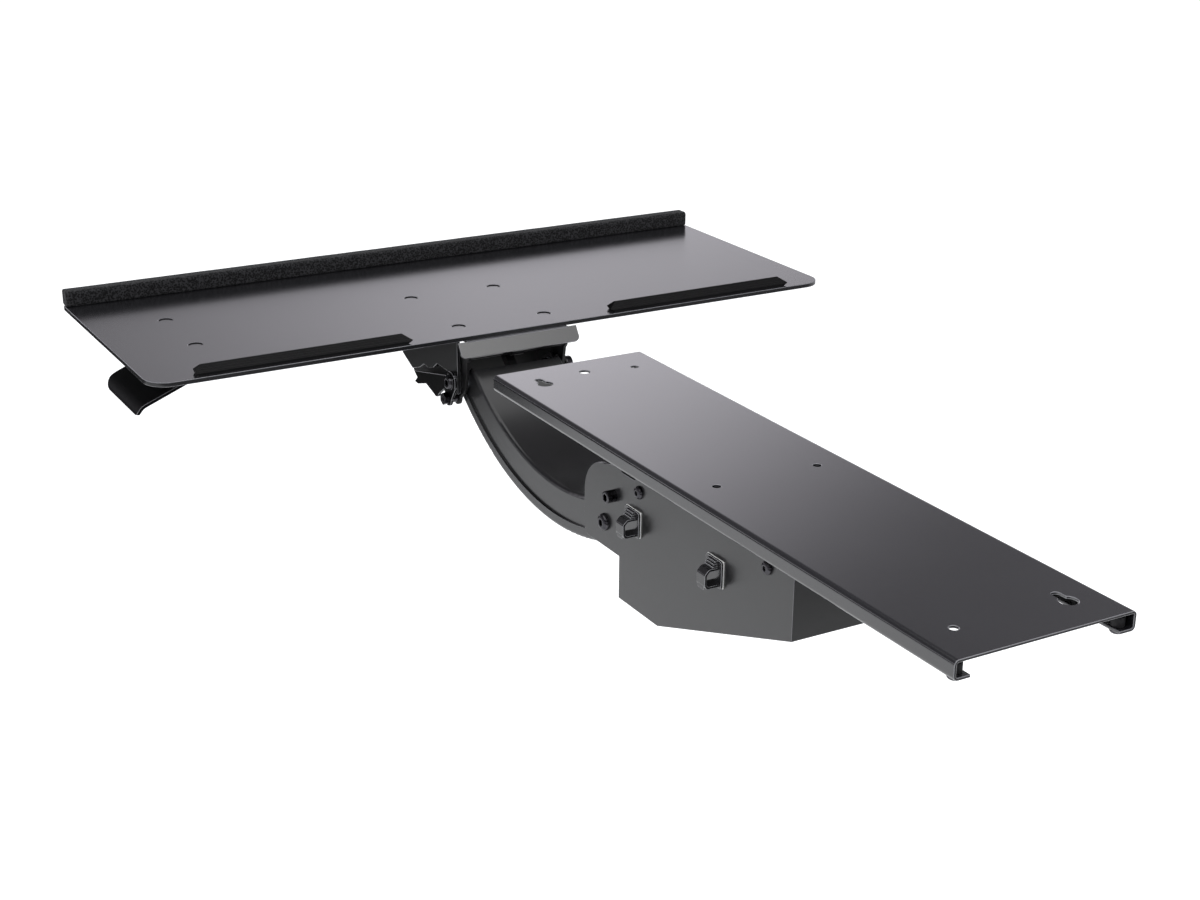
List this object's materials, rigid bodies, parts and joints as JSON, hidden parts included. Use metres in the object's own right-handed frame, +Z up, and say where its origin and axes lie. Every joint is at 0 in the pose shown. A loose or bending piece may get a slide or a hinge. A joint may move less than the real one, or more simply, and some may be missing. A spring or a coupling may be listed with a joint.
{
  "type": "keyboard tray under desk",
  "caption": "Steel keyboard tray on a curved lift arm that slides, swivels, lifts and tilts below a desk, with a foam palm rest.",
  "frame": {"origin": "middle of the track top face, which lies against the underside of the desk", "axes": "+Z up, X along the tray, -Y toward the user, +X on the user right-hand side"},
  "size_m": [0.668, 0.954, 0.1517],
  "materials": {
    "track_paint": "satin powder coat",
    "cover_paint": "satin powder coat",
    "arm_paint": "satin powder coat",
    "head_paint": "satin powder coat",
    "tray_paint": "satin powder coat",
    "black_steel": "black oxide, oiled",
    "zinc": "zinc plated",
    "nylon": "natural nylon",
    "sleeve_rubber": "matt",
    "strip_plastic": "satin, moulded",
    "clip_plastic": "satin, moulded",
    "pad_foam": "closed-cell foam",
    "rest_foam": "closed-cell foam with a fabric-like grain",
    "paddle_paint": "satin"
  },
  "bodies": {
    "track": {"track": "track_paint", "stop_bolts": "black_steel", "stop_sleeves": "sleeve_rubber"},
    "carriage": {"carriage_plate": "arm_paint", "carriage_glides": "nylon", "glide_rivets": "zinc", "swivel_stud": "zinc", "swivel_washer": "nylon", "swivel_nut": "zinc"},
    "base": {"base_frame": "cover_paint", "cover": "cover_paint", "cover_screws": "black_steel", "cable_clip_front": "clip_plastic", "cable_clip_rear": "clip_plastic", "clip_pads": "pad_foam", "base_pivot_bolts": "black_steel", "base_pivot_nuts": "zinc", "base_pivot_spacers": "zinc", "link_axle": "zinc", "link_screws": "black_steel"},
    "arm": {"arm_inner_shell": "arm_paint", "arm_outer_shell": "arm_paint", "arm_bushes": "zinc"},
    "control_link": {"control_link": "arm_paint"},
    "knuckle": {"knuckle": "head_paint", "knuckle_pin": "black_steel", "head_bolts": "black_steel", "head_nuts": "zinc", "head_spacers": "zinc", "lock_plate": "head_paint", "lock_bolt": "black_steel"},
    "tray": {"tray_bracket": "head_paint", "tray_board": "tray_paint", "tray_bolts": "black_steel", "tray_nuts": "zinc", "stop_strip_right": "strip_plastic", "stop_strip_left": "strip_plastic", "palm_rest": "rest_foam", "paddle_bracket": "head_paint", "paddle_bolts": "black_steel", "paddle_pin": "zinc"},
    "paddle": {"release_paddle": "paddle_paint"}
  },
  "joints": [
    {"name": "track_slide", "type": "slide", "parent": "track", "child": "carriage", "axis": [0, 1, 0], "range_m": [-0.16, 0.04]},
    {"name": "base_swivel", "type": "hinge", "parent": "carriage", "child": "base", "pos_m": [0, -0.03, -0.016], "axis": [0, 0, 1], "range_deg": [-90, 90]},
    {"name": "arm_height", "type": "hinge", "parent": "base", "child": "arm", "pos_m": [0, -0.14, -0.077], "axis": [1, 0, 0], "range_deg": [-10, 25]},
    {"name": "link_turn", "type": "hinge", "parent": "base", "child": "control_link", "pos_m": [0, -0.126, -0.05], "axis": [1, 0, 0], "range_deg": [-10, 25]},
    {"name": "head_level", "type": "hinge", "parent": "arm", "child": "knuckle", "pos_m": [0, -0.40998, -0.04107], "axis": [1, 0, 0], "range_deg": [-25, 10]},
    {"name": "tray_tilt", "type": "hinge", "parent": "knuckle", "child": "tray", "pos_m": [0, -0.40998, -0.04107], "axis": [1, 0, 0], "range_deg": [-10, 12]},
    {"name": "paddle_press", "type": "hinge", "parent": "tray", "child": "paddle", "pos_m": [0.266, -0.49599, -0.00907], "axis": [0, -1, 0], "range_deg": [0, 10], "stiffness_Nm_per_rad": 0.4, "springref_deg": -17.19}
  ],
  "couplings": [
    {"joint": "link_turn", "follows": "arm_height", "ratio": 1},
    {"joint": "head_level", "follows": "arm_height", "ratio": -1}
  ]
}
